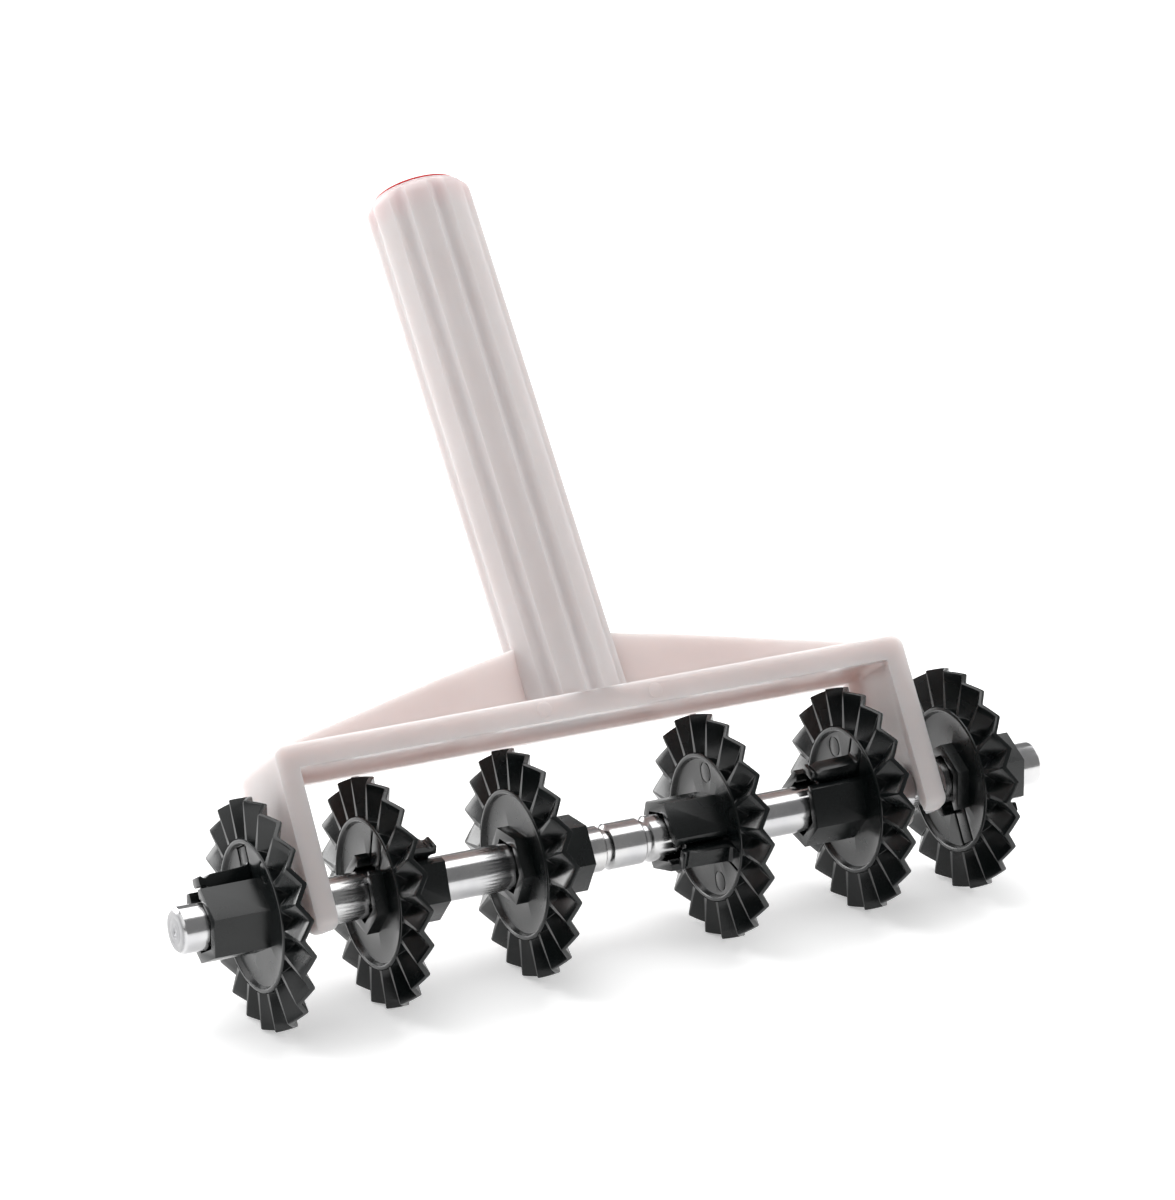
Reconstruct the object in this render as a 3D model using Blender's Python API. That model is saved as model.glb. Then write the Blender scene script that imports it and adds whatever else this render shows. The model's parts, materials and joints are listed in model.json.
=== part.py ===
"""Hand roller with six toothed discs: fork with handle, plug, axle, discs and their spring latches.

Metres, +Z up, the axle along X, the discs standing on z = 0 and the handle leaning back to +Y.
"""

import bpy
import bmesh
import math
from mathutils import Matrix, Vector

MM = 0.001

# pose of the whole tool
BOW_LEAN = math.radians(33.5)
TUBE_LEAN = math.radians(5.6)
AXLE_SHIFT = 2.0
ORIGIN_Y = 46.4717

# bow of the fork: beam and two legs, a channel open to the inside
BOW_HALF_WIDTH = 89.6
BOW_HALF_DEPTH = 13.5
BEAM_TOP = 38.2
BEAM_HEIGHT = 6.2
LEG_THICK = 5.8
LEG_BOTTOM = -8.8
FLANGE = 2.9
CHANNEL_DEPTH = 2.5
POCKET_DEPTH = 3.2
CHANNEL_CORNER_R = 2.5
CHANNEL_LIP = 0.06
CHANNEL_STATIONS = (-1.0, -0.95, -0.87, -0.72, -0.4, 0.4, 0.72, 0.87, 0.95, 1.0)
CORNER_R = 3.2
SEAT_R = 5.35
THROAT_HALF = 4.75
FLARE_HALF = 7.0
FLARE_TOP = -5.2
FLARE_OVER = 1.0
PRONG_CHAMFER = 2.0
PRONG_DEEP = 3.4
PRONG_TALL = 3.4
CUT_MARGIN = 3.0

# gusset on the beam
GUSSET_THICK = 3.0
GUSSET_END = 87.0
GUSSET_FOOT = 1.2
GUSSET_TOE = 0.4
GUSSET_ROOF = ((14.0, 16.2), (36.0, 12.2), (53.0, 8.7), (72.0, 4.6), (85.5, 1.5))

# handle tube
TUBE_R = 14.3
TUBE_R_LOW = 14.2
FLUTE_DEPTH = 1.05
LOBES = 8
CREST_CORNERS = (-12.5, -4.5, 4.5, 12.5)
SHOULDER_STEPS = (30, 55, 75, 90)
LIP_STEP = 0.03
TUBE_BASE = 36.6
TUBE_LENGTH = 146.3
SHOULDER = 3.4
SHOULDER_R = 12.8
LIP_R = 12.4
LIP_HEIGHT = 0.6
BORE_R = 9.6
BORE_TAPER = 0.8
BORE_FLOOR = 5.2

# plug
PLUG_R = 11.3
PLUG_HEAD = 0.6
PLUG_STEM = 14.0
PLUG_GAP = 0.3

# axle
AXLE_R = 6.0
AXLE_HALF = 123.0
NECK_R = 5.0
NECK_IN = 83.7
NECK_OUT = 93.0
NECK_SLOPE = 0.5
END_CHAMFER = 1.0
END_DIMPLE_R = 0.9
END_DIMPLE = 0.6
GROOVE_HALF = 1.2
GROOVE_FLOOR_HALF = 0.4
GROOVE_R = 5.0
FREE_GROOVES = (-5.75, 5.75)

# discs
WHEEL_R = 29.2
TEETH = 20
CROWN_HALF = 2.15
CROWN_WAVE = 2.8
CROWN_TURN = math.radians(-6.4)
RING_R = 19.4
RING_SIDE = 2.3
RING_CREST_R = 18.7
RING_TOP = 2.5
RING_INNER_R = 18.0
RING_INNER = 2.2
WEB_R = 17.8
WEB_HALF = 1.1
EYE_R = 7.4
HUB_FLATS = 17.4
BORE_FLATS = 12.6
HUB_LONG = 15.9
HUB_SHORT = 4.4
WINDOW_HALF = 3.0
WINDOW_LOW = 3.0
WINDOW_TOP = 17.6

# each disc: place along the axle from its middle, side of the long collar, latch direction in degrees
DISCS = (
    (-100.2, -1, 5.0),
    (-68.6, 1, 44.0),
    (-28.0, 1, 271.0),
    (26.9, -1, 138.5),
    (68.2, -1, 44.5),
    (99.4, 1, 182.0),
)

# latch finger
FINGER_HALF = 2.3
FINGER_INNER = 6.9
PIVOT_R = 17.3
TOOTH_X = 11.3
TOOTH_R = 5.5
BAR_TOP = 12.4
BAR_END = 3.5
LIP_LOW = 9.6


def clear_scene():
    for obj in list(bpy.data.objects):
        bpy.data.objects.remove(obj, do_unlink=True)


def material(name, colour, rough, metal=0.0):
    mat = bpy.data.materials.new(name)
    mat.use_nodes = True
    shader = mat.node_tree.nodes["Principled BSDF"]
    shader.inputs["Base Color"].default_value = (*colour, 1.0)
    shader.inputs["Roughness"].default_value = rough
    shader.inputs["Metallic"].default_value = metal
    mat.diffuse_color = (*colour, 1.0)
    return mat


def bow_frame():
    """Frame of the bow: X along the axle, Z from the axle to the beam."""
    place = Matrix.Translation(Vector((-AXLE_SHIFT, -ORIGIN_Y, WHEEL_R)) * MM)
    return place @ Matrix.Rotation(-BOW_LEAN, 4, "X")


def tube_frame():
    turn = Matrix.Translation(Vector((0, 0, TUBE_BASE)) * MM) @ Matrix.Rotation(-TUBE_LEAN, 4, "X")
    return bow_frame() @ turn


def disc_frame(index):
    """Frame of a disc: X out of its long collar's side, Z towards its latch."""
    along, side, angle = DISCS[index]
    turn = math.radians(angle)
    axis = Vector((side, 0, 0))
    latch = Vector((0, -math.sin(turn), math.cos(turn)))
    third = latch.cross(axis)
    rot = Matrix((axis, third, latch)).transposed().to_4x4()
    centre = Vector((along + AXLE_SHIFT, 0, 0)) * MM
    return bow_frame() @ Matrix.Translation(centre) @ rot


def new_object(name, mesh, frame, mat=None):
    obj = bpy.data.objects.new(name, mesh)
    bpy.context.scene.collection.objects.link(obj)
    obj.matrix_world = frame
    if mat is not None:
        obj.data.materials.append(mat)
    return obj


def mesh_from(name, points, faces):
    mesh = bpy.data.meshes.new(name)
    mesh.from_pydata([tuple(c * MM for c in p) for p in points], [], faces)
    mesh.validate()
    bm = bmesh.new()
    bm.from_mesh(mesh)
    bmesh.ops.recalc_face_normals(bm, faces=bm.faces)
    bm.to_mesh(mesh)
    bm.free()
    return mesh


def prism(name, outline, low, high, axis):
    """Extrudes a 2D outline along an axis. The outline's two coordinates are the other two axes."""
    order = {"X": (2, 0, 1), "Y": (0, 2, 1), "Z": (0, 1, 2)}[axis]
    points = []
    for level in (low, high):
        for a, b in outline:
            source = (a, b, level)
            points.append(tuple(source[i] for i in order))
    n = len(outline)
    faces = [tuple(range(n)), tuple(range(2 * n - 1, n - 1, -1))]
    faces += [(i, (i + 1) % n, n + (i + 1) % n, n + i) for i in range(n)]
    return mesh_from(name, points, faces)


def loft(name, rings, close_ends=True):
    """Joins rings of equal length into one closed skin."""
    n = len(rings[0])
    points = [p for ring in rings for p in ring]
    faces = []
    for k in range(len(rings) - 1):
        for i in range(n):
            j = (i + 1) % n
            faces.append((k * n + i, k * n + j, (k + 1) * n + j, (k + 1) * n + i))
    if close_ends:
        faces.append(tuple(range(n - 1, -1, -1)))
        last = (len(rings) - 1) * n
        faces.append(tuple(range(last, last + n)))
    return mesh_from(name, points, faces)


def revolve_x(name, profile, steps):
    """Turns a profile of (x, r) around X. The first and last radii are 0."""
    points = [(profile[0][0], 0, 0)]
    for x, r in profile[1:-1]:
        for i in range(steps):
            a = 2 * math.pi * i / steps
            points.append((x, r * math.cos(a), r * math.sin(a)))
    points.append((profile[-1][0], 0, 0))
    count = len(profile) - 2
    faces = [(0, 1 + (i + 1) % steps, 1 + i) for i in range(steps)]
    for k in range(count - 1):
        a = 1 + k * steps
        b = a + steps
        for i in range(steps):
            j = (i + 1) % steps
            faces.append((a + i, a + j, b + j, b + i))
    a = 1 + (count - 1) * steps
    end = len(points) - 1
    faces += [(a + i, a + (i + 1) % steps, end) for i in range(steps)]
    return mesh_from(name, points, faces)


def boolean(base, tool_mesh, operation):
    """Applies an exact Boolean of base with a mesh in the same frame."""
    tool = new_object("tool", tool_mesh, base.matrix_world.copy())
    tool.hide_render = True
    tool.display_type = "WIRE"
    mod = base.modifiers.new("cut", "BOOLEAN")
    mod.operation = operation
    mod.solver = "EXACT"
    mod.object = tool
    bpy.context.view_layer.update()
    graph = bpy.context.evaluated_depsgraph_get()
    result = bpy.data.meshes.new_from_object(base.evaluated_get(graph))
    base.modifiers.clear()
    old = base.data
    base.data = result
    bpy.data.meshes.remove(old)
    bpy.data.objects.remove(tool, do_unlink=True)


def tidy(obj, angle, merge=0.00002):
    bm = bmesh.new()
    bm.from_mesh(obj.data)
    bmesh.ops.remove_doubles(bm, verts=bm.verts, dist=merge)
    bmesh.ops.dissolve_degenerate(bm, edges=bm.edges, dist=merge * 0.5)
    bmesh.ops.recalc_face_normals(bm, faces=bm.faces)
    bm.to_mesh(obj.data)
    bm.free()
    obj.data.shade_smooth()
    obj.data.set_sharp_from_angle(angle=math.radians(angle))


def arc(cx, cy, r, start, end, steps):
    out = []
    for i in range(steps + 1):
        a = math.radians(start + (end - start) * i / steps)
        out.append((cx + r * math.cos(a), cy + r * math.sin(a)))
    return out


# ---- fork ----

def bow_outline():
    """Inverted U in the plane of the axle and the handle."""
    w = BOW_HALF_WIDTH
    inner = w - LEG_THICK
    ceiling = BEAM_TOP - BEAM_HEIGHT
    c = PRONG_CHAMFER
    right = [(inner, LEG_BOTTOM), (w - c, LEG_BOTTOM), (w, LEG_BOTTOM + c)]
    right += arc(w - CORNER_R, BEAM_TOP - CORNER_R, CORNER_R, 0, 90, 4)
    left = [(-x, z) for x, z in reversed(right)]
    return right + left + [(-inner, ceiling), (inner, ceiling)]


def seat_outline():
    """Open-bottomed snap seat for the axle's neck, in the plane across the axle."""
    low = LEG_BOTTOM - FLARE_OVER
    slope = (FLARE_HALF - THROAT_HALF) / (FLARE_TOP - LEG_BOTTOM)
    flare = FLARE_HALF + slope * FLARE_OVER
    start = math.degrees(math.asin(THROAT_HALF / SEAT_R))
    round_top = arc(0, 0, SEAT_R, -90 + start, 270 - start, 14)
    left = [(-flare, low), (-THROAT_HALF, FLARE_TOP)]
    right = [(THROAT_HALF, FLARE_TOP), (flare, low)]
    return left + round_top[::-1] + right


def prong_cut(sign):
    """Takes the outer lower corner off one prong of both legs."""
    over = 0.5
    d = BOW_HALF_DEPTH + over
    low = LEG_BOTTOM - over
    pts = [(sign * (d - PRONG_DEEP), low), (sign * d, low), (sign * d, low + over + PRONG_TALL)]
    return pts if sign > 0 else pts[::-1]


def tube_ring(radius, flute, z):
    """One section of the fluted tube: flat crests, hollow flutes between them."""
    out = []
    half = 180 / LOBES
    for k in range(LOBES):
        crest = half * (2 * k + 1)
        for off in CREST_CORNERS:
            out.append((radius, crest + off))
        out.append((radius - flute, crest + half))
    return [(r * math.cos(math.radians(a)), r * math.sin(math.radians(a)), z) for r, a in out]


def tube_radius(z):
    t = z / TUBE_LENGTH
    return TUBE_R_LOW + (TUBE_R - TUBE_R_LOW) * t


def handle_tube():
    rings = [tube_ring(TUBE_R_LOW, FLUTE_DEPTH, 0.0)]
    straight = TUBE_LENGTH - LIP_HEIGHT - SHOULDER
    rings.append(tube_ring(tube_radius(straight), FLUTE_DEPTH, straight))
    for deg in SHOULDER_STEPS:
        a = math.radians(deg)
        r = TUBE_R - (TUBE_R - SHOULDER_R) * (1 - math.cos(a))
        rings.append(tube_ring(r, FLUTE_DEPTH * math.cos(a), straight + SHOULDER * math.sin(a)))
    rings.append(tube_ring(LIP_R, 0.0, straight + SHOULDER + LIP_STEP))
    rings.append(tube_ring(LIP_R, 0.0, TUBE_LENGTH))
    return loft("tube", rings)


def circle(radius, z, steps):
    return [
        (radius * math.cos(2 * math.pi * i / steps), radius * math.sin(2 * math.pi * i / steps), z)
        for i in range(steps)
    ]


def channel():
    """Cutter for the hollow along the inside of the beam and the legs, deepest along its middle."""
    half = BOW_HALF_DEPTH - FLANGE
    rings = []
    for t in CHANNEL_STATIONS:
        # a negative depth at the ends keeps the cutter's last ring clear of the wall
        deep = (1 + CHANNEL_LIP) * (1 - abs(t) ** 5) ** 0.7 - CHANNEL_LIP
        w = BOW_HALF_WIDTH - LEG_THICK + POCKET_DEPTH * deep
        top = BEAM_TOP - BEAM_HEIGHT + CHANNEL_DEPTH * deep
        c = CHANNEL_CORNER_R
        right = [(w, LEG_BOTTOM - CUT_MARGIN)] + arc(w - c, top - c, c, 0, 90, 3)
        outline = right + [(-x, z) for x, z in reversed(right)]
        rings.append([(x, t * half, z) for x, z in outline])
    return loft("channel", rings)


def gusset():
    foot = BEAM_TOP - GUSSET_FOOT
    roof = [(x, BEAM_TOP + h) for x, h in GUSSET_ROOF]
    right = [(GUSSET_END, foot), (GUSSET_END, BEAM_TOP + GUSSET_TOE)] + roof[::-1]
    outline = right + [(-x, z) for x, z in reversed(right)]
    return prism("gusset", outline, -GUSSET_THICK / 2, GUSSET_THICK / 2, "Y")


def make_fork(mat):
    frame = bow_frame()
    to_tube = frame.inverted() @ tube_frame()
    d = BOW_HALF_DEPTH
    fork = new_object("handle_fork", prism("handle_fork", bow_outline(), -d, d, "Y"), frame)
    boolean(fork, channel(), "DIFFERENCE")
    boolean(fork, gusset(), "UNION")
    tube = handle_tube()
    tube.transform(to_tube)
    boolean(fork, tube, "UNION")
    floor_ring = circle(BORE_R - BORE_TAPER, BORE_FLOOR, 24)
    bore = loft("bore", [floor_ring, circle(BORE_R, TUBE_LENGTH + CUT_MARGIN, 24)])
    bore.transform(to_tube)
    boolean(fork, bore, "DIFFERENCE")
    far = BOW_HALF_WIDTH + CUT_MARGIN
    boolean(fork, prism("seat", seat_outline(), -far, far, "X"), "DIFFERENCE")
    for sign in (-1, 1):
        boolean(fork, prism("prong", prong_cut(sign), -far, far, "X"), "DIFFERENCE")
    tidy(fork, 32)
    fork.data.materials.clear()
    fork.data.materials.append(mat)


def make_plug(mat):
    rim = PLUG_R
    top = TUBE_LENGTH + PLUG_GAP
    head = top + PLUG_HEAD
    stem = BORE_R - PLUG_GAP
    low = TUBE_LENGTH - PLUG_STEM
    profile = [
        (low, 0.0),
        (low, stem - 1.4),
        (low + 1.5, stem - 0.5),
        (top - 0.01, stem - 0.1),
        (top, rim - 0.1),
        (top + 0.2, rim),
        (head - 0.2, rim - 0.05),
        (head, rim - 0.4),
        (head, 0.0),
    ]
    mesh = revolve_x("end_plug", profile, 40)
    mesh.transform(Matrix.Rotation(-math.pi / 2, 4, "Y"))
    plug = new_object("end_plug", mesh, tube_frame(), mat)
    tidy(plug, 35)


# ---- axle ----

def groove(x):
    g = GROOVE_HALF
    f = GROOVE_FLOOR_HALF
    return [(x - g, AXLE_R), (x - f, GROOVE_R), (x + f, GROOVE_R), (x + g, AXLE_R)]


def make_axle(mat):
    marks = []
    for along, side, _ in DISCS:
        marks.append(along + side * TOOTH_X)
    marks += list(FREE_GROOVES)
    spans = [(x, groove(x)) for x in marks]
    for s in (-1, 1):
        a, b = sorted((s * NECK_IN, s * NECK_OUT))
        spans.append((a, [(a, AXLE_R), (a + NECK_SLOPE, NECK_R), (b - NECK_SLOPE, NECK_R), (b, AXLE_R)]))
    h = AXLE_HALF
    c = END_CHAMFER
    right = [(h - c, AXLE_R), (h, AXLE_R - c), (h, END_DIMPLE_R), (h - END_DIMPLE, 0.0)]
    profile = [(-x, r) for x, r in reversed(right)]
    for _, pts in sorted(spans):
        profile += pts
    profile += right
    frame = bow_frame() @ Matrix.Translation(Vector((AXLE_SHIFT, 0, 0)) * MM)
    axle = new_object("axle", revolve_x("axle", profile, 28), frame, mat)
    tidy(axle, 35)


# ---- discs ----

def hexagon(flats):
    r = flats / 2 / math.cos(math.pi / 6)
    out = []
    for i in range(6):
        a = math.radians(30 + 60 * i)
        out.append((r * math.sin(a), r * math.cos(a)))
    return out


def disc_section(ridge):
    """Closed section of the disc at a ridge or a valley of its collar side, as (r, x)."""
    front = CROWN_HALF if ridge else CROWN_HALF - CROWN_WAVE
    back = CROWN_WAVE - CROWN_HALF if ridge else -CROWN_HALF
    ring = [(RING_R, RING_SIDE), (RING_CREST_R, RING_TOP), (RING_INNER_R, RING_INNER)]
    ring += [(WEB_R, WEB_HALF), (EYE_R, WEB_HALF)]
    upper = [(WHEEL_R, front), (RING_R, front)] + ring
    lower = [(WHEEL_R, back), (RING_R, back)] + [(r, -x) for r, x in ring]
    return upper + lower[::-1]


def disc_mesh():
    """One disc, built once: X out of the long collar, Z through the latch."""
    count = 2 * TEETH
    rings = []
    for j in range(count):
        a = 2 * math.pi * j / count + CROWN_TURN
        rings.append([(x, r * math.sin(a), r * math.cos(a)) for r, x in disc_section(j % 2 == 1)])
    n = len(rings[0])
    points = [p for ring in rings for p in ring]
    faces = []
    for j in range(count):
        nxt = (j + 1) % count
        for i in range(n):
            k = (i + 1) % n
            quad = (j * n + i, j * n + k, nxt * n + k, nxt * n + i)
            if i in (0, n - 2):
                # the crown's panels are folded along the line from rim to ring
                faces.append((quad[0], quad[1], quad[2]))
                faces.append((quad[0], quad[2], quad[3]))
            else:
                faces.append(quad)
    base = new_object("disc", mesh_from("disc", points, faces), Matrix.Identity(4))
    boolean(base, prism("hub", hexagon(HUB_FLATS), -HUB_SHORT, HUB_LONG, "X"), "UNION")
    low = -HUB_SHORT - CUT_MARGIN
    high = HUB_LONG + CUT_MARGIN
    boolean(base, prism("bore", hexagon(BORE_FLATS), low, high, "X"), "DIFFERENCE")
    w = WINDOW_HALF
    slot = [(-w, WINDOW_LOW), (w, WINDOW_LOW), (w, WINDOW_TOP), (-w, WINDOW_TOP)]
    boolean(base, prism("window", slot, low, high, "X"), "DIFFERENCE")
    tidy(base, 20)
    mesh = base.data
    bpy.data.objects.remove(base, do_unlink=True)
    return mesh


def finger_mesh():
    """Spring latch in the disc's frame, as a profile of (x, z) with a constant width."""
    t = TOOTH_X
    end = t + BAR_END
    profile = [
        (-WEB_HALF, PIVOT_R),
        (-WEB_HALF, FINGER_INNER),
        (t - 1.5, FINGER_INNER),
        (t - 0.55, TOOTH_R),
        (t + 0.55, TOOTH_R),
        (t + 1.2, FINGER_INNER - 0.3),
        (t + 1.2, LIP_LOW - 1.2),
        (t + 1.7, LIP_LOW - 0.3),
        (t + 2.5, LIP_LOW),
        (end, LIP_LOW),
        (end, BAR_TOP - 0.3),
        (end - 0.3, BAR_TOP),
        (WEB_HALF + 0.5, BAR_TOP),
        (WEB_HALF, BAR_TOP + 0.5),
        (WEB_HALF, PIVOT_R),
    ]
    mesh = prism("latch", profile, -FINGER_HALF, FINGER_HALF, "Y")
    # the origin goes to the bend at the ring
    mesh.transform(Matrix.Translation(Vector((0, 0, -PIVOT_R)) * MM))
    return mesh


def make_discs(black, latch_black):
    disc = disc_mesh()
    finger = finger_mesh()
    for i in range(len(DISCS)):
        wheel = new_object(f"wheel_{i + 1}", disc.copy(), disc_frame(i), black)
        wheel.data.name = wheel.name
        frame = disc_frame(i) @ Matrix.Translation(Vector((0, 0, PIVOT_R)) * MM)
        latch = new_object(f"latch_finger_{i + 1}", finger.copy(), frame, latch_black)
        latch.data.name = latch.name
        tidy(latch, 30)
    bpy.data.meshes.remove(disc)
    bpy.data.meshes.remove(finger)


def main():
    clear_scene()
    make_fork(material("white_plastic", (0.80, 0.76, 0.75), 0.38))
    make_plug(material("red_plastic", (0.75, 0.04, 0.03), 0.35))
    make_axle(material("polished_steel", (0.72, 0.72, 0.73), 0.12, 1.0))
    make_discs(
        material("black_plastic", (0.022, 0.027, 0.028), 0.36),
        material("latch_plastic", (0.021, 0.026, 0.027), 0.36),
    )


main()
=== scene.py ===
"""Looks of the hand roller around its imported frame: fork, plug, axle, discs and latches.

Lengths are in millimetres inside the helpers and become metres when a mesh is made.
"""

import json
import math

import bmesh
import bpy
from mathutils import Matrix, Vector


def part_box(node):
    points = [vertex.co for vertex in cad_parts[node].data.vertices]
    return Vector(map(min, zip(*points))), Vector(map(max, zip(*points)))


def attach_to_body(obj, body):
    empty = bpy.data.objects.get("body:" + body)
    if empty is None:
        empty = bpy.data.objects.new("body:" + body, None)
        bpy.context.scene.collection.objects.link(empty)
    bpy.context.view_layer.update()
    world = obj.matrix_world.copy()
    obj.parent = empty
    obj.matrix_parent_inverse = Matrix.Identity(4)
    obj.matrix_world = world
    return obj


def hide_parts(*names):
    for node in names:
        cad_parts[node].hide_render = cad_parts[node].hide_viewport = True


MM = 0.001
CUT_MARGIN = 3.0
PASSING_GAP = 0.3

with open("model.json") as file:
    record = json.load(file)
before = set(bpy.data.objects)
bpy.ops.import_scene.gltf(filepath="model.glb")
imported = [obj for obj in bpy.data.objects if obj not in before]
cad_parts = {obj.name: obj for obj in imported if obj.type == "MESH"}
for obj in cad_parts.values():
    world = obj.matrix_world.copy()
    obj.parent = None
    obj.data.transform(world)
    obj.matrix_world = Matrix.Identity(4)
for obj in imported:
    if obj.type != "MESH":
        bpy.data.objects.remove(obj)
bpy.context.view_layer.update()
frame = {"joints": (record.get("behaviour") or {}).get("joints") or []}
JOINTS = {joint["name"]: joint for joint in frame["joints"]}
DISC_COUNT = 6

# fork: its bow is the beam and the two legs
BOW_LEAN = math.radians(33.5)
TUBE_LEAN = math.radians(5.6)
BOW_HALF_WIDTH = 89.6
BOW_HALF_DEPTH = 13.5
BEAM_TOP = 38.2
BEAM_HEIGHT = 6.2
LEG_THICK = 5.8
LEG_BOTTOM = -8.8
FLANGE = 2.9
CORNER_R = 3.2
SEAT_R = 5.35
THROAT_HALF = 4.75
FLARE_HALF = 7.0
FLARE_TOP = -5.2
FLARE_OVER = 1.0
FLARE_SPREAD = 0.6
PRONG_ROUND = 2.9
PRONG_TALL = 3.4
LEG_FOOT_R = 2.0
LEG_INNER_R = 1.0
EDGE_ROUND = 0.8
GUSSET_THICK = 3.0
GUSSET_INSET = 2.8
GUSSET_FOOT = 1.2
GUSSET_TOE = 0.4
GUSSET_ROOF = (
    (12.0, 16.4), (24.0, 14.3), (36.0, 12.1), (45.0, 10.2), (53.0, 8.5),
    (63.0, 6.3), (72.0, 4.5), (80.0, 2.7), (85.5, 1.4),
)
TUBE_R = 14.3
TUBE_R_LOW = 14.2
FLUTE_DEPTH = 1.05
LOBES = 8
CREST = 12.3
CREST_DISH = 0.2
CREST_OFFSETS = (-CREST, -8.0, -4.0, 0.0, 4.0, 8.0, CREST)
FLUTE_OFFSETS = (13.6, 15.2, 17.2, 19.6, 22.5, 25.4, 27.8, 29.8, 31.4)
TUBE_BASE = 36.6
TUBE_LENGTH = 146.3
SHOULDER = 3.2
SHOULDER_R = 12.75
LIP_R = 12.25
LIP_HEIGHT = 0.9
LIP_NOTCH = 0.25
BORE_R = 9.6
BORE_TAPER = 0.8
BORE_FLOOR = 5.2
BORE_OVER = 2.0
CHANNEL_DEPTH = 2.5
POCKET_DEPTH = 2.8
CHANNEL_CORNER_R = 2.5
CHANNEL_LIP = 0.06
CHANNEL_HALF_STATIONS = (0.3, 0.55, 0.7, 0.8, 0.87, 0.93, 0.97, 1.0)
BEAM_MARKS = ((-15.3, 35.2), (16.3, 35.0))
BEAM_MARK_RELIEF = ((-0.4, 0.0), (-0.4, 2.1), (0.1, 2.02), (0.19, 1.8), (0.24, 1.3), (0.26, 0.0))

# plug
PLUG_R = 11.3
PLUG_HEAD = 0.6
PLUG_SINK = 0.1
PLUG_STEM = 14.0
PLUG_STEM_GAP = 0.35

# reach of the plug's pink glow, painted into the handle's wall colour, from the middle of the tube's end
PAINTED_GLOW_NEAR = 11.5
PAINTED_GLOW_FAR = 17.0

# axle
NECK_R = 5.0
NECK_IN = 83.7
NECK_OUT = 93.0
GROOVE_R = 5.0
FREE_GROOVES = (-5.75, 5.75)

# depth of the bar's end band from its face, painted darker as shade and made rougher: where it starts and
# where it is full
END_FROM = 0.6
END_FULL = 0.2

# discs
WHEEL_R = 29.2
TEETH = 20
CROWN_HALF = 2.15
CROWN_WAVE = 2.8
CROWN_TURN = math.radians(-6.4)
RING_R = 19.4
RING_TOP = 2.5
WEB_HALF = 1.1
WEB_OUTER_R = 17.0
WEB_MIDDLE_R = 14.0
EYE_R = 7.4
WEB_EDGE_TURN = 0.004
WEB_FIRST_TURN = 0.03
HUB_FLATS = 17.4
BORE_FLATS = 12.6
HUB_LONG = 15.9
HUB_SHORT = 4.4
WINDOW_HALF = 3.0
WINDOW_LOW = 3.0
WINDOW_TOP = 17.6
PIN_TURNS = (50, 246, 316)
PIN_AT = 14.3
PIN_R = 2.75
PIN_INNER_R = 2.4
PIN_DEPTH = 0.16

# latches
PIVOT_R = 17.3
FINGER_HALF = 2.3
FINGER_INNER = 6.9
TOOTH_X = 11.3
TOOTH_R = 5.55
BAR_TOP = 12.4
BAR_BEND_R = 1.2


# ---- frames ----

def axle_point():
    return Vector(JOINTS["axle_spin"]["pos_m"])


def bow_frame():
    """X along the axle, Z from the axle to the beam, on the fork's middle."""
    low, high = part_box("handle_fork")
    centre = axle_point()
    centre.x = (low.x + high.x) / 2
    return Matrix.Translation(centre) @ Matrix.Rotation(-BOW_LEAN, 4, "X")


def tube_frame():
    turn = Matrix.Translation(Vector((0, 0, TUBE_BASE)) * MM) @ Matrix.Rotation(-TUBE_LEAN, 4, "X")
    return bow_frame() @ turn


def disc_frame(index):
    """X out of the long collar's side, Z towards the latch, from the two joints of the disc."""
    centre = Vector(JOINTS[f"wheel_{index}_spin"]["pos_m"])
    hinge = JOINTS[f"latch_{index}_flex"]
    latch = (Vector(hinge["pos_m"]) - centre).normalized()
    side = latch.cross(Vector(hinge["axis"])).normalized()
    third = latch.cross(side)
    return Matrix.Translation(centre) @ Matrix((side, third, latch)).transposed().to_4x4()


# ---- mesh helpers ----

def mesh_from(name, points, faces):
    mesh = bpy.data.meshes.new(name)
    mesh.from_pydata([tuple(c * MM for c in p) for p in points], [], faces)
    bm = bmesh.new()
    bm.from_mesh(mesh)
    bmesh.ops.recalc_face_normals(bm, faces=bm.faces)
    bm.to_mesh(mesh)
    bm.free()
    return mesh


def new_object(name, mesh, place=None):
    obj = bpy.data.objects.new(name, mesh)
    bpy.context.scene.collection.objects.link(obj)
    if place is not None:
        obj.matrix_world = place
    return obj


def prism(name, outline, low, high, axis):
    order = {"X": (2, 0, 1), "Y": (0, 2, 1), "Z": (0, 1, 2)}[axis]
    points = []
    for level in (low, high):
        for a, b in outline:
            source = (a, b, level)
            points.append(tuple(source[i] for i in order))
    n = len(outline)
    faces = [tuple(range(n)), tuple(range(2 * n - 1, n - 1, -1))]
    faces += [(i, (i + 1) % n, n + (i + 1) % n, n + i) for i in range(n)]
    return mesh_from(name, points, faces)


def loft(name, rings, closed=False):
    """Joins rings of equal length. The ends are capped unless the loft closes on itself."""
    n = len(rings[0])
    points = [p for ring in rings for p in ring]
    spans = len(rings) if closed else len(rings) - 1
    faces = []
    for k in range(spans):
        a = k * n
        b = (k + 1) % len(rings) * n
        for i in range(n):
            j = (i + 1) % n
            faces.append((a + i, a + j, b + j, b + i))
    if not closed:
        faces.append(tuple(range(n - 1, -1, -1)))
        last = (len(rings) - 1) * n
        faces.append(tuple(range(last, last + n)))
    return mesh_from(name, points, faces)


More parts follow.
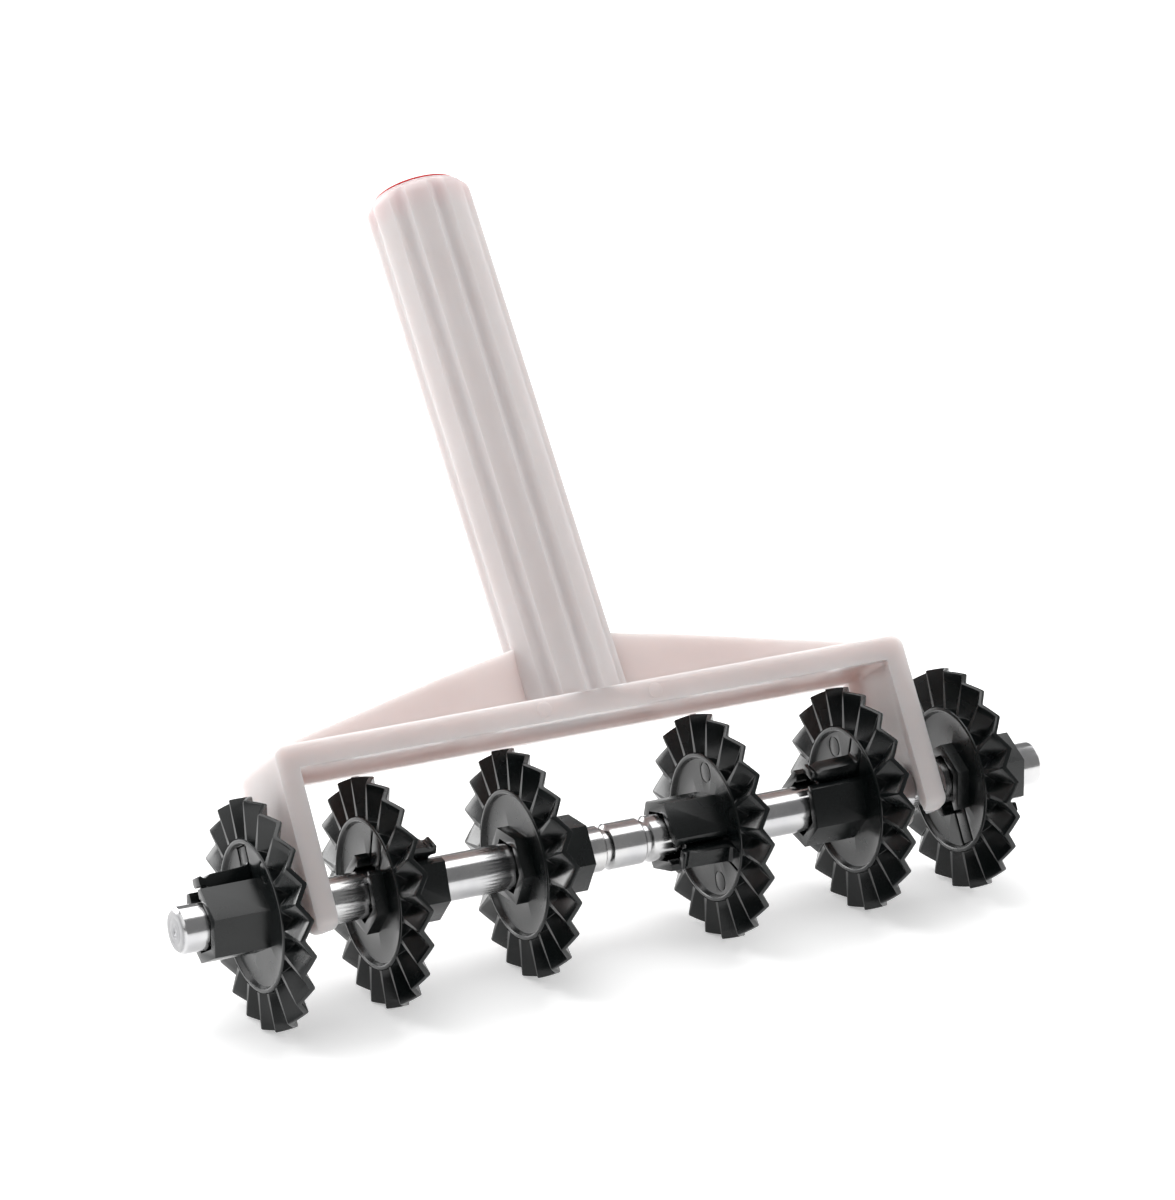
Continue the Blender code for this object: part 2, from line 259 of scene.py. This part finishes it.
def revolve(name, profile, steps, axis="X"):
    """Turns a profile of (along, r) around an axis. The first and last radii are 0."""
    def point(x, r, a):
        c = r * math.cos(a)
        s = r * math.sin(a)
        return (x, c, s) if axis == "X" else (c, s, x)

    points = [point(profile[0][0], 0, 0)]
    for x, r in profile[1:-1]:
        points += [point(x, r, 2 * math.pi * i / steps) for i in range(steps)]
    points.append(point(profile[-1][0], 0, 0))
    count = len(profile) - 2
    faces = [(0, 1 + (i + 1) % steps, 1 + i) for i in range(steps)]
    for k in range(count - 1):
        a = 1 + k * steps
        b = a + steps
        for i in range(steps):
            j = (i + 1) % steps
            faces.append((a + i, a + j, b + j, b + i))
    a = 1 + (count - 1) * steps
    end = len(points) - 1
    faces += [(a + i, a + (i + 1) % steps, end) for i in range(steps)]
    return mesh_from(name, points, faces)


def baked(obj):
    """Puts the result of the object's modifiers into its mesh."""
    bpy.context.view_layer.update()
    graph = bpy.context.evaluated_depsgraph_get()
    result = bpy.data.meshes.new_from_object(obj.evaluated_get(graph))
    obj.modifiers.clear()
    old = obj.data
    obj.data = result
    bpy.data.meshes.remove(old)


def boolean(base, tool_mesh, operation):
    tool = new_object("tool", tool_mesh, base.matrix_world.copy())
    mod = base.modifiers.new("cut", "BOOLEAN")
    mod.operation = operation
    mod.solver = "EXACT"
    mod.object = tool
    baked(base)
    bpy.data.objects.remove(tool, do_unlink=True)


def clean(mesh, merge):
    bm = bmesh.new()
    bm.from_mesh(mesh)
    bmesh.ops.remove_doubles(bm, verts=bm.verts, dist=merge * MM)
    bmesh.ops.dissolve_degenerate(bm, edges=bm.edges, dist=merge * MM * 0.5)
    bmesh.ops.recalc_face_normals(bm, faces=bm.faces)
    bm.to_mesh(mesh)
    bm.free()


def soften(obj, width, angle, segments=2):
    """Rounds the sharp edges of a piece by width."""
    mod = obj.modifiers.new("soften", "BEVEL")
    mod.width = width * MM
    mod.segments = segments
    mod.limit_method = "ANGLE"
    mod.angle_limit = math.radians(angle)
    mod.use_clamp_overlap = True
    baked(obj)


def smooth(obj, angle):
    obj.data.shade_smooth()
    obj.data.set_sharp_from_angle(angle=math.radians(angle))


def attach(obj, body, node):
    """Puts the piece's place into its mesh, then hangs it on a body in the node's stead."""
    obj.data.transform(obj.matrix_world)
    obj.matrix_world = Matrix.Identity(4)
    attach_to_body(obj, body)
    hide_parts(node)


def arc(cx, cy, r, start, end, steps):
    out = []
    for i in range(steps + 1):
        a = math.radians(start + (end - start) * i / steps)
        out.append((cx + r * math.cos(a), cy + r * math.sin(a)))
    return out


def lerp(a, b, t):
    return a + (b - a) * t


# ---- materials ----

class Nodes:
    """Short hand for building a node tree."""

    def __init__(self, name):
        self.mat = bpy.data.materials.new(name)
        self.mat.use_nodes = True
        self.tree = self.mat.node_tree
        self.shader = self.tree.nodes["Principled BSDF"]

    def add(self, kind, values=None, **settings):
        node = self.tree.nodes.new(kind)
        for key, value in settings.items():
            setattr(node, key, value)
        for key, value in (values or {}).items():
            node.inputs[key].default_value = value
        return node

    def link(self, source, target):
        self.tree.links.new(source, target)

    def coords(self, scale=(1, 1, 1)):
        tex = self.add("ShaderNodeTexCoord")
        mapping = self.add("ShaderNodeMapping", {"Scale": scale})
        self.link(tex.outputs["Object"], mapping.inputs["Vector"])
        return mapping.outputs["Vector"]

    def noise(self, vector, scale, detail=3.0, rough=0.5):
        node = self.add("ShaderNodeTexNoise", {"Scale": scale, "Detail": detail, "Roughness": rough})
        self.link(vector, node.inputs["Vector"])
        return node.outputs["Fac"]

    def ramp(self, source, stops):
        node = self.add("ShaderNodeValToRGB")
        ramp = node.color_ramp
        while len(ramp.elements) < len(stops):
            ramp.elements.new(0.5)
        for element, (place, colour) in zip(ramp.elements, stops):
            element.position = place
            element.color = (*colour, 1.0)
        self.link(source, node.inputs["Fac"])
        return node.outputs["Color"]

    def spread(self, source, low, high, start=0.3, end=0.7):
        node = self.add(
            "ShaderNodeMapRange",
            {"From Min": start, "From Max": end, "To Min": low, "To Max": high},
        )
        self.link(source, node.inputs["Value"])
        return node.outputs["Result"]

    def bump(self, heights, strength=1.0):
        """Bump from a list of (height socket, depth in mm)."""
        last = None
        for socket, depth in heights:
            node = self.add("ShaderNodeBump", {"Strength": strength, "Distance": depth * MM})
            self.link(socket, node.inputs["Height"])
            if last is not None:
                self.link(last.outputs["Normal"], node.inputs["Normal"])
            last = node
        self.link(last.outputs["Normal"], self.shader.inputs["Normal"])

    def tint(self, stops, source):
        """Base colour from a ramp over a source."""
        self.link(self.ramp(source, stops), self.shader.inputs["Base Color"])

    def blend(self, factor, first, second):
        """Colour between two sockets by a factor socket. second may also be a plain colour."""
        node = self.add("ShaderNodeMix", data_type="RGBA", blend_type="MIX")
        self.link(factor, node.inputs["Factor"])
        self.link(first, node.inputs[6])
        if isinstance(second, tuple):
            node.inputs[7].default_value = (*second, 1.0)
        else:
            self.link(second, node.inputs[7])
        self.link(node.outputs[2], self.shader.inputs["Base Color"])

    def set(self, **values):
        for key, value in values.items():
            self.shader.inputs[key.replace("_", " ")].default_value = value


def black_plastic(name, tone=1.0):
    """Moulded nylon: near black, fine spark-eroded grain, slightly uneven gloss."""
    n = Nodes(name)
    where = n.coords()
    blotch = n.noise(where, 90.0, 3.0)
    grain = n.noise(where, 2600.0, 2.0)
    low = tuple(c * tone for c in (0.0022, 0.0034, 0.0035))
    high = tuple(c * tone for c in (0.0042, 0.0060, 0.0062))
    n.tint([(0.3, low), (0.7, high)], blotch)
    n.link(n.spread(blotch, 0.20, 0.30), n.shader.inputs["Roughness"])
    n.bump([(grain, 0.005), (blotch, 0.05)], 0.6)
    n.set(IOR=1.52, Specular_IOR_Level=0.40)
    return n.mat


def white_plastic(name):
    """Milky polypropylene: warm white, lets some light through, faint flow clouds, and pink light from the
    red plug painted into the colour at the tube's top.
    """
    n = Nodes(name)
    where = n.coords()
    cloud = n.noise(where, 28.0, 4.0, 0.55)
    fine = n.noise(where, 420.0, 3.0)
    colour = n.ramp(cloud, [(0.25, (0.610, 0.560, 0.553)), (0.75, (0.660, 0.615, 0.610))])
    # painted pink light: the red plug's stem would glow a little through the wall at the tube's top, so
    # that glow is painted into the base colour there
    top = tube_frame() @ (Vector((0, 0, TUBE_LENGTH)) * MM)
    away = n.add("ShaderNodeVectorMath", {1: top}, operation="DISTANCE")
    n.link(where, away.inputs[0])
    painted_glow = n.spread(away.outputs["Value"], 0.6, 0.0, PAINTED_GLOW_NEAR * MM, PAINTED_GLOW_FAR * MM)
    n.blend(painted_glow, colour, (0.70, 0.46, 0.47))
    n.link(n.spread(fine, 0.30, 0.40), n.shader.inputs["Roughness"])
    n.bump([(fine, 0.012), (cloud, 0.10)], 0.5)
    n.set(
        IOR=1.49,
        Subsurface_Weight=1.0,
        Subsurface_Scale=0.009,
        Subsurface_Radius=(1.0, 0.86, 0.82),
    )
    return n.mat


def red_plastic(name):
    n = Nodes(name)
    where = n.coords()
    cloud = n.noise(where, 60.0, 3.0)
    fine = n.noise(where, 900.0, 2.0)
    n.tint([(0.3, (0.52, 0.014, 0.012)), (0.7, (0.62, 0.024, 0.020))], cloud)
    n.link(n.spread(fine, 0.24, 0.36), n.shader.inputs["Roughness"])
    n.bump([(fine, 0.01)], 0.5)
    n.set(IOR=1.5, Subsurface_Weight=0.2, Subsurface_Scale=0.004, Subsurface_Radius=(1.0, 0.2, 0.1))
    return n.mat


def polished_steel(name, half):
    """Ground bar with fine rings and rub marks, rougher on its turned ends, which are also painted darker
    as shade. half is its half length in m.
    """
    n = Nodes(name)
    where = n.coords()
    rings = n.noise(n.coords((9000, 60, 60)), 1.0, 2.0)
    marks = n.noise(n.coords((40, 900, 900)), 1.0, 3.0)
    cloud = n.noise(where, 120.0, 3.0)
    split = n.add("ShaderNodeSeparateXYZ")
    n.link(where, split.inputs["Vector"])
    along = n.add("ShaderNodeMath", operation="ABSOLUTE")
    n.link(split.outputs["X"], along.inputs[0])
    end = n.spread(along.outputs["Value"], 0.0, 1.0, half - END_FROM * MM, half - END_FULL * MM)
    bright = n.ramp(cloud, [(0.3, (0.53, 0.53, 0.542)), (0.7, (0.65, 0.646, 0.642))])
    # painted shade: the end faces get a darker tone, standing in for the dimmer light they reflect
    painted_shade_end = n.ramp(cloud, [(0.3, (0.30, 0.30, 0.31)), (0.7, (0.40, 0.40, 0.40))])
    n.blend(end, bright, painted_shade_end)
    rough = n.add("ShaderNodeMath", {1: 0.16}, operation="MULTIPLY_ADD")
    n.link(end, rough.inputs[0])
    n.link(n.spread(marks, 0.13, 0.24), rough.inputs[2])
    n.link(rough.outputs["Value"], n.shader.inputs["Roughness"])
    n.bump([(rings, 0.0035), (marks, 0.006)], 0.6)
    n.set(Metallic=1.0)
    return n.mat


# ---- discs ----

def ridge_half(r, sharp):
    """Half width of a fold's crest at radius r, as an angle."""
    t = (r - RING_R) / (WHEEL_R - RING_R)
    wide = 0.10 if sharp else lerp(0.62, 0.20, min(1.0, max(0.0, t)))
    return wide / r


def crown_x(face, station, t):
    """Height of the crown's skin on a face, t of the way from one fold to the next."""
    ridge_first = (station % 2 == 1) == (face > 0)
    high = CROWN_HALF
    low = CROWN_HALF - CROWN_WAVE
    first, last = (high, low) if ridge_first else (low, high)
    return face * lerp(first, last, t)


def bead_side(face, skin):
    """Ring and web on one face as (r, x), from the crown inward. skin is the crown's height there."""
    profile = [
        (RING_R + 0.28, skin),
        (RING_R + 0.08, skin + 0.08),
        (RING_R, skin + 0.28),
        (RING_R - 0.04, 2.12),
        (RING_R - 0.2, 2.36),
        (RING_R - 0.5, RING_TOP),
        (RING_R - 0.85, RING_TOP),
        (RING_R - 1.15, 2.34),
        (RING_R - 1.34, 2.02),
        (RING_R - 1.5, 1.5),
        (RING_R - 1.68, 1.24),
        (RING_R - 2.0, WEB_HALF),
        (WEB_MIDDLE_R, WEB_HALF),
        (EYE_R, WEB_HALF),
    ]
    return [(r, face * x) for r, x in profile]


def disc_ring(station, t, edge):
    """One section of the disc, t of the way from a fold to the next.

    With an edge of -1 or 1, the section lies on that edge of the fold's crest instead.
    """
    step = math.pi / TEETH
    middle = step * station + CROWN_TURN
    front = crown_x(1, station, t)
    back = crown_x(-1, station, t)

    def angle(r, face):
        here = ridge_half(r, (station % 2 == 1) != (face > 0))
        there = ridge_half(r, ((station + 1) % 2 == 1) != (face > 0))
        if edge is not None:
            return middle + edge * here
        return middle + lerp(here, step - there, t)

    def web_angle():
        if edge is not None:
            return middle + edge * WEB_EDGE_TURN
        return middle + lerp(WEB_FIRST_TURN, step - WEB_FIRST_TURN, t)

    panel = (21.6, 24.2, 26.8)
    rim = [(WHEEL_R - 0.34, 0.0), (WHEEL_R - 0.10, 0.09), (WHEEL_R, 0.32)]
    section = [(r, x, 1) for r, x in reversed(bead_side(1, front))]
    section += [(r, front, 1) for r in panel]
    section += [(r, front - drop, 1) for r, drop in rim]
    section += [(r, back + drop, -1) for r, drop in reversed(rim)]
    section += [(r, back, -1) for r in reversed(panel)]
    section += [(r, x, -1) for r, x in bead_side(-1, -back)]
    ring = []
    for r, x, face in section:
        a = web_angle() if r < WEB_OUTER_R else angle(max(r, RING_R - 1.7), face)
        ring.append((x, r * math.sin(a), r * math.cos(a)))
    return ring


def hexagon(flats):
    r = flats / 2 / math.cos(math.pi / 6)
    out = []
    for i in range(6):
        a = math.radians(30 + 60 * i)
        out.append((r * math.sin(a), r * math.cos(a)))
    return out


def circle(cx, cy, r, steps):
    angles = [2 * math.pi * i / steps for i in range(steps)]
    return [(cx + r * math.cos(a), cy + r * math.sin(a)) for a in angles]


def wheel_mesh():
    rings = []
    for station in range(2 * TEETH):
        rings.append(disc_ring(station, 0, -1))
        rings.append(disc_ring(station, 0, 1))
        for t in (0.33, 0.67):
            rings.append(disc_ring(station, t, None))
    base = new_object("wheel_base", loft("wheel_base", rings, closed=True))
    clean(base.data, 0.004)
    low = -HUB_SHORT - CUT_MARGIN
    high = HUB_LONG + CUT_MARGIN
    boolean(base, prism("hub", hexagon(HUB_FLATS), -HUB_SHORT, HUB_LONG, "X"), "UNION")
    boolean(base, prism("bore", hexagon(BORE_FLATS), low, high, "X"), "DIFFERENCE")
    w = WINDOW_HALF
    slot = [(-w, WINDOW_LOW), (w, WINDOW_LOW), (w, WINDOW_TOP), (-w, WINDOW_TOP)]
    boolean(base, prism("window", slot, low, high, "X"), "DIFFERENCE")
    # shallow rings left by the mould's ejector pins
    for turn in PIN_TURNS:
        a = math.radians(turn)
        y = PIN_AT * math.sin(a)
        z = PIN_AT * math.cos(a)
        outer = prism("pin", circle(y, z, PIN_R, 28), WEB_HALF - PIN_DEPTH, WEB_HALF + 1, "X")
        boolean(base, outer, "DIFFERENCE")
        inner = prism("pin", circle(y, z, PIN_INNER_R, 28), WEB_HALF - 0.5, WEB_HALF + 0.02, "X")
        boolean(base, inner, "UNION")
    clean(base.data, 0.004)
    soften(base, 0.22, 50)
    smooth(base, 28)
    mesh = base.data
    bpy.data.objects.remove(base, do_unlink=True)
    return mesh


def latch_mesh():
    """Profile of the latch as (x, z), extruded across its width."""
    t = TOOTH_X
    profile = [
        (-WEB_HALF, PIVOT_R),
        (-WEB_HALF, FINGER_INNER + 0.4),
        (-WEB_HALF + 0.4, FINGER_INNER),
        (t - 1.7, FINGER_INNER),
        (t - 0.55, TOOTH_R),
        (t + 0.55, TOOTH_R),
        (t + 1.2, FINGER_INNER - 0.3),
        (t + 1.2, 8.2),
    ]
    # under the lip, round its end and back over the notch to the bar's top
    profile += arc(t + 2.4, 8.2, 1.2, 180, 90, 5)[1:]
    profile += arc(t + 2.9, 9.95, 0.55, -90, 0, 4)[1:]
    profile += arc(t + 2.95, 11.5, 0.5, 0, 90, 4)
    profile += [(t + 2.5, 11.95), (t + 2.1, 11.4), (t + 1.5, 11.3), (t + 0.9, 11.6), (t + 0.1, 12.1)]
    profile += [(WEB_HALF + BAR_BEND_R, BAR_TOP)]
    profile += arc(WEB_HALF + BAR_BEND_R, BAR_TOP + BAR_BEND_R, BAR_BEND_R, -90, -180, 5)[1:]
    profile += [(WEB_HALF, PIVOT_R)]
    obj = new_object("latch", prism("latch", profile, -FINGER_HALF, FINGER_HALF, "Y"))
    soften(obj, 0.25, 35)
    smooth(obj, 30)
    mesh = obj.data
    bpy.data.objects.remove(obj, do_unlink=True)
    return mesh


def make_discs():
    wheel = wheel_mesh()
    latch = latch_mesh()
    wheel.materials.clear()
    latch.materials.clear()
    wheel.materials.append(black_plastic("black_moulding"))
    latch.materials.append(black_plastic("black_latch", 0.95))
    for index in range(1, DISC_COUNT + 1):
        place = disc_frame(index)
        obj = new_object(f"toothed_disc_{index}", wheel.copy(), place)
        attach(obj, f"wheel_{index}", f"wheel_{index}")
        obj = new_object(f"spring_latch_{index}", latch.copy(), place)
        attach(obj, f"latch_{index}", f"latch_finger_{index}")


# ---- axle ----

def groove(x, r):
    """V-groove for a latch tooth, with its edges broken, in a bar of radius r."""
    half = [(0.42, GROOVE_R), (1.12, r - 0.12), (1.3, r)]
    return [(x - d, c) for d, c in reversed(half)] + [(x + d, c) for d, c in half]


def neck(low, high, r):
    """Thin stretch that runs in a leg's seat."""
    shoulder = [(0.0, r), (0.15, r - 0.15), (0.6, NECK_R)]
    return [(low + d, c) for d, c in shoulder] + [(high - d, c) for d, c in reversed(shoulder)]


def bar_end(r):
    """Face of the bar from its middle out, as (depth, radius): centre dimple, two fine rings, chamfer."""
    dimple = [(0.55, 0.0), (0.2, 0.75), (0.02, 1.05), (0.0, 1.6)]
    fine_rings = [(0.07, 1.75), (0.0, 1.9), (0.0, 3.1), (0.06, 3.25), (0.0, 3.4)]
    chamfer = [(0.0, r - 1.15), (0.08, r - 0.95), (0.9, r - 0.12), (1.25, r)]
    return dimple + fine_rings + chamfer


def make_axle():
    low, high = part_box("axle")
    half = (high.x - low.x) / 2 / MM
    r = (high.z - low.z) / 2 / MM
    tooth = Vector((TOOTH_X * MM, 0, 0))
    marks = [(disc_frame(index) @ tooth).x / MM for index in range(1, DISC_COUNT + 1)]
    spans = [(x, groove(x, r)) for x in marks + list(FREE_GROOVES)]
    spans += [(-NECK_OUT, neck(-NECK_OUT, -NECK_IN, r)), (NECK_IN, neck(NECK_IN, NECK_OUT, r))]
    end = bar_end(r)
    profile = [(depth - half, c) for depth, c in end]
    for _, points in sorted(spans):
        profile += points
    profile += [(half - depth, c) for depth, c in reversed(end)]
    obj = new_object("axle_bar", revolve("axle_bar", profile, 96), Matrix.Translation(axle_point()))
    smooth(obj, 24)
    obj.data.materials.append(polished_steel("ground_steel", half * MM))
    attach(obj, "axle", "axle")


# ---- fork ----

def flute(angle):
    """Depth of the flute at an angle around the tube, from 0 on a crest to 1 in the hollow."""
    half = 180.0 / LOBES
    off = abs(angle % (2 * half) - half)
    if off <= CREST:
        return 0.0
    t = (off - CREST) / (half - CREST)
    return math.sin(t * math.pi / 2) ** 1.15


def tube_ring(radius, depth, z):
    half = 180.0 / LOBES
    out = []
    for k in range(LOBES):
        for off in CREST_OFFSETS + FLUTE_OFFSETS:
            angle = half * (2 * k + 1) + off
            # the crest is a little flatter than the tube's own circle
            flat = CREST_DISH * (1 - (off / CREST) ** 2) if abs(off) < CREST else 0.0
            r = radius - depth * (flute(angle) + flat)
            out.append((r * math.cos(math.radians(angle)), r * math.sin(math.radians(angle)), z))
    return out


def handle_tube():
    """Fluted tube that ends in a round shoulder, a notch and a thin lip."""
    straight = TUBE_LENGTH - LIP_HEIGHT - SHOULDER
    rings = []
    for z in (0.0, 30.0, 60.0, 90.0, 120.0, straight - 4.0, straight):
        r = lerp(TUBE_R_LOW, TUBE_R, z / TUBE_LENGTH)
        rings.append(tube_ring(r, FLUTE_DEPTH, z))
    for deg in (15, 30, 45, 58, 70, 80, 90):
        a = math.radians(deg)
        r = TUBE_R - (TUBE_R - SHOULDER_R) * (1 - math.cos(a))
        rings.append(tube_ring(r, FLUTE_DEPTH * math.cos(a), straight + SHOULDER * math.sin(a)))
    notch = LIP_R - LIP_NOTCH
    lip = [(notch + 0.1, LIP_HEIGHT), (notch, 0.8), (notch, 0.62)]
    lip += [(LIP_R, 0.5), (LIP_R, 0.24), (LIP_R - 0.2, 0.05)]
    rings += [tube_ring(r, 0.0, TUBE_LENGTH - down) for r, down in lip]
    return loft("tube", rings)


def bow_outline():
    """Inverted U of the beam and the legs, in the plane of the axle and the handle."""
    w = BOW_HALF_WIDTH
    inner = w - LEG_THICK
    ceiling = BEAM_TOP - BEAM_HEIGHT
    low = LEG_BOTTOM
    right = arc(inner + LEG_INNER_R, low + LEG_INNER_R, LEG_INNER_R, 180, 270, 4)
    right += arc(w - LEG_FOOT_R, low + LEG_FOOT_R, LEG_FOOT_R, -90, 0, 6)
    right += arc(w - CORNER_R, BEAM_TOP - CORNER_R, CORNER_R, 0, 90, 8)
    return right + mirrored(right) + [(-inner, ceiling), (inner, ceiling)]


def mirrored(points):
    return [(-x, z) for x, z in reversed(points)]


def seat_outline():
    """Open-bottomed snap seat for the axle's neck, in the plane across the axle."""
    low = LEG_BOTTOM - FLARE_OVER
    start = math.degrees(math.asin(THROAT_HALF / SEAT_R))
    round_top = arc(0, 0, SEAT_R, -90 + start, 270 - start, 40)
    right = [(THROAT_HALF, FLARE_TOP), (FLARE_HALF + FLARE_SPREAD, low)]
    return mirrored(right) + round_top[::-1] + right


def prong_cut(sign):
    """Rounds the outer lower corner of one prong."""
    side = BOW_HALF_DEPTH + 1
    below = LEG_BOTTOM - 1
    inner = BOW_HALF_DEPTH - PRONG_ROUND
    high = LEG_BOTTOM + PRONG_TALL
    _, *curve = arc(inner, high, PRONG_ROUND, -90, 0, 7)
    points = [(inner, below), (inner, LEG_BOTTOM)] + curve + [(side, high), (side, below)]
    points = [(sign * y, z) for y, z in points]
    return points if sign > 0 else points[::-1]


def gusset_outline():
    """The gusset's roof is one smooth curve from the tube out to the beam's end."""
    end = BOW_HALF_WIDTH - GUSSET_INSET
    right = [(end, BEAM_TOP - GUSSET_FOOT), (end, BEAM_TOP + GUSSET_TOE)]
    right += [(x, BEAM_TOP + h) for x, h in reversed(GUSSET_ROOF)]
    return right + mirrored(right)


def channel():
    """Cutter for the soft hollow along the inside of the beam and the legs."""
    half = BOW_HALF_DEPTH - FLANGE
    c = CHANNEL_CORNER_R
    rings = []
    stations = [-t for t in reversed(CHANNEL_HALF_STATIONS)] + [0.0] + list(CHANNEL_HALF_STATIONS)
    for t in stations:
        # a negative depth at the ends keeps the cutter's last ring clear of the wall
        deep = (1 + CHANNEL_LIP) * (1 - abs(t) ** 5) ** 0.7 - CHANNEL_LIP
        w = BOW_HALF_WIDTH - LEG_THICK + POCKET_DEPTH * deep
        top = BEAM_TOP - BEAM_HEIGHT + CHANNEL_DEPTH * deep
        right = [(w, LEG_BOTTOM - CUT_MARGIN)] + arc(w - c, top - c, c, 0, 90, 7)
        rings.append([(x, t * half, z) for x, z in right + mirrored(right)])
    return loft("channel", rings)


def beam_mark(x, z):
    """Shallow round pad on the beam's front face, left by an ejector pin."""
    mesh = revolve("mark", BEAM_MARK_RELIEF, 40, "Z")
    turn = Matrix.Rotation(math.pi / 2, 4, "X")
    mesh.transform(Matrix.Translation(Vector((x, -BOW_HALF_DEPTH, z)) * MM) @ turn)
    return mesh


def tube_bore():
    ends = ((BORE_R - BORE_TAPER, BORE_FLOOR), (BORE_R, TUBE_LENGTH + BORE_OVER))
    return loft("bore", [[(x, y, z) for x, y in circle(0, 0, r, 64)] for r, z in ends])


def make_fork():
    place = bow_frame()
    to_tube = place.inverted() @ tube_frame()
    d = BOW_HALF_DEPTH
    g = GUSSET_THICK / 2
    far = BOW_HALF_WIDTH + CUT_MARGIN
    fork = new_object("fork_moulding", prism("fork_moulding", bow_outline(), -d, d, "Y"), place)
    boolean(fork, channel(), "DIFFERENCE")
    boolean(fork, prism("gusset", gusset_outline(), -g, g, "Y"), "UNION")
    boolean(fork, prism("seat", seat_outline(), -far, far, "X"), "DIFFERENCE")
    for sign in (-1, 1):
        boolean(fork, prism("prong", prong_cut(sign), -far, far, "X"), "DIFFERENCE")
    clean(fork.data, 0.01)
    soften(fork, EDGE_ROUND, 38, 4)
    for x, z in BEAM_MARKS:
        boolean(fork, beam_mark(x, z), "UNION")
    tube = handle_tube()
    tube.transform(to_tube)
    boolean(fork, tube, "UNION")
    bore = tube_bore()
    bore.transform(to_tube)
    boolean(fork, bore, "DIFFERENCE")
    clean(fork.data, 0.004)
    smooth(fork, 24)
    fork.data.materials.clear()
    fork.data.materials.append(white_plastic("milky_white"))
    attach(fork, "handle", "handle_fork")


def plug_profile():
    """Half section of the plug as (along, radius): tapered stem, thin disc, slightly sunk middle."""
    rim = PLUG_R
    top = TUBE_LENGTH + PASSING_GAP
    stem = BORE_R - PLUG_STEM_GAP
    low = TUBE_LENGTH - PLUG_STEM
    head = top + PLUG_HEAD - PLUG_SINK
    profile = [(low, 0.0), (low, stem - 1.4), (low + 1.5, stem - 0.5), (top - 0.01, stem - 0.1)]
    profile += [(top, rim - 0.15), (top + 0.08, rim - 0.04), (top + 0.2, rim), (head - 0.2, rim)]
    profile += [(head - 0.1, rim - 0.05), (head - 0.03, rim - 0.16), (head, rim - 0.35), (head, rim - 1.2)]
    return profile + [(head - 0.12, rim - 1.5), (head - 0.12, 3.0), (head - 0.12, 0.0)]


def make_plug():
    obj = new_object("red_plug", revolve("red_plug", plug_profile(), 96, "Z"), tube_frame())
    smooth(obj, 30)
    obj.data.materials.append(red_plastic("red_moulding"))
    attach(obj, "handle", "end_plug")


# ---- surroundings ----

# place in metres, then the directions of the camera's right, up and forward
LENS = 156.0
CAMERA_AT = (-0.57220, -1.13348, 0.52674)
CAMERA_AXES = ((0.88782, -0.46019, -0.00120), (0.15358, 0.29385, 0.94343), (0.43381, 0.83778, -0.33156))

FLOOR_HALF = 6000
FLOOR_LEVEL = -0.2

# each light: name, place and size in metres, power in watts. All aim at one point.
LIT_POINT = (0.0, 0.0, 0.07)
LIGHTS = (
    ("top", (0.0, 0.45, 1.9), (2.6, 2.4), 50.0),
    ("left", (-1.8, 0.35, 0.80), (1.4, 1.1), 5.0),
    ("right", (1.8, 0.35, 0.80), (1.4, 1.1), 8.0),
    ("back", (-0.85, 1.5, 0.50), (1.0, 0.6), 14.0),
)


def make_camera():
    data = bpy.data.cameras.new("camera")
    data.lens = LENS
    data.sensor_width = 36.0
    data.sensor_fit = "AUTO"
    data.clip_start = 0.05
    data.clip_end = 50.0
    cam = bpy.data.objects.new("camera", data)
    bpy.context.scene.collection.objects.link(cam)
    right, up, forward = (Vector(v).normalized() for v in CAMERA_AXES)
    right = (right - forward * right.dot(forward)).normalized()
    up = right.cross(forward)
    turn = Matrix((right, up, -forward)).transposed().to_4x4()
    cam.matrix_world = Matrix.Translation(Vector(CAMERA_AT)) @ turn
    bpy.context.scene.camera = cam


def area_light(name, place, target, size, power):
    data = bpy.data.lights.new(name, "AREA")
    data.shape = "RECTANGLE"
    data.size = size[0]
    data.size_y = size[1]
    data.energy = power
    obj = bpy.data.objects.new(name, data)
    bpy.context.scene.collection.objects.link(obj)
    obj.location = Vector(place)
    obj.rotation_mode = "QUATERNION"
    obj.rotation_quaternion = (Vector(target) - Vector(place)).to_track_quat("-Z", "Y")


def make_floor():
    """Pale floor that glows a little, so that the shadows on it stay light."""
    far = FLOOR_HALF
    z = FLOOR_LEVEL
    corners = [(-far, -far, z), (far, -far, z), (far, far, z), (-far, far, z)]
    mesh = mesh_from("floor", corners, [(0, 1, 2, 3)])
    floor = new_object("floor", mesh)
    n = Nodes("pale_floor")
    cloud = n.noise(n.coords(), 3.0, 3.0)
    n.tint([(0.3, (0.93, 0.93, 0.93)), (0.7, (0.95, 0.95, 0.95))], cloud)
    n.set(Roughness=0.9, Emission_Color=(1.0, 1.0, 1.0, 1.0), Emission_Strength=0.35)
    mesh.materials.append(n.mat)


def make_stage():
    make_floor()
    world = bpy.data.worlds.new("studio")
    world.use_nodes = True
    world.node_tree.nodes["Background"].inputs["Color"].default_value = (1.0, 1.0, 1.0, 1.0)
    world.node_tree.nodes["Background"].inputs["Strength"].default_value = 0.27
    bpy.context.scene.world = world
    for name, place, size, power in LIGHTS:
        area_light(name, place, LIT_POINT, size, power)
    bpy.context.scene.view_settings.view_transform = "Standard"
    bpy.context.scene.view_settings.exposure = 0.0


make_discs()
make_axle()
make_fork()
make_plug()
make_camera()
make_stage()
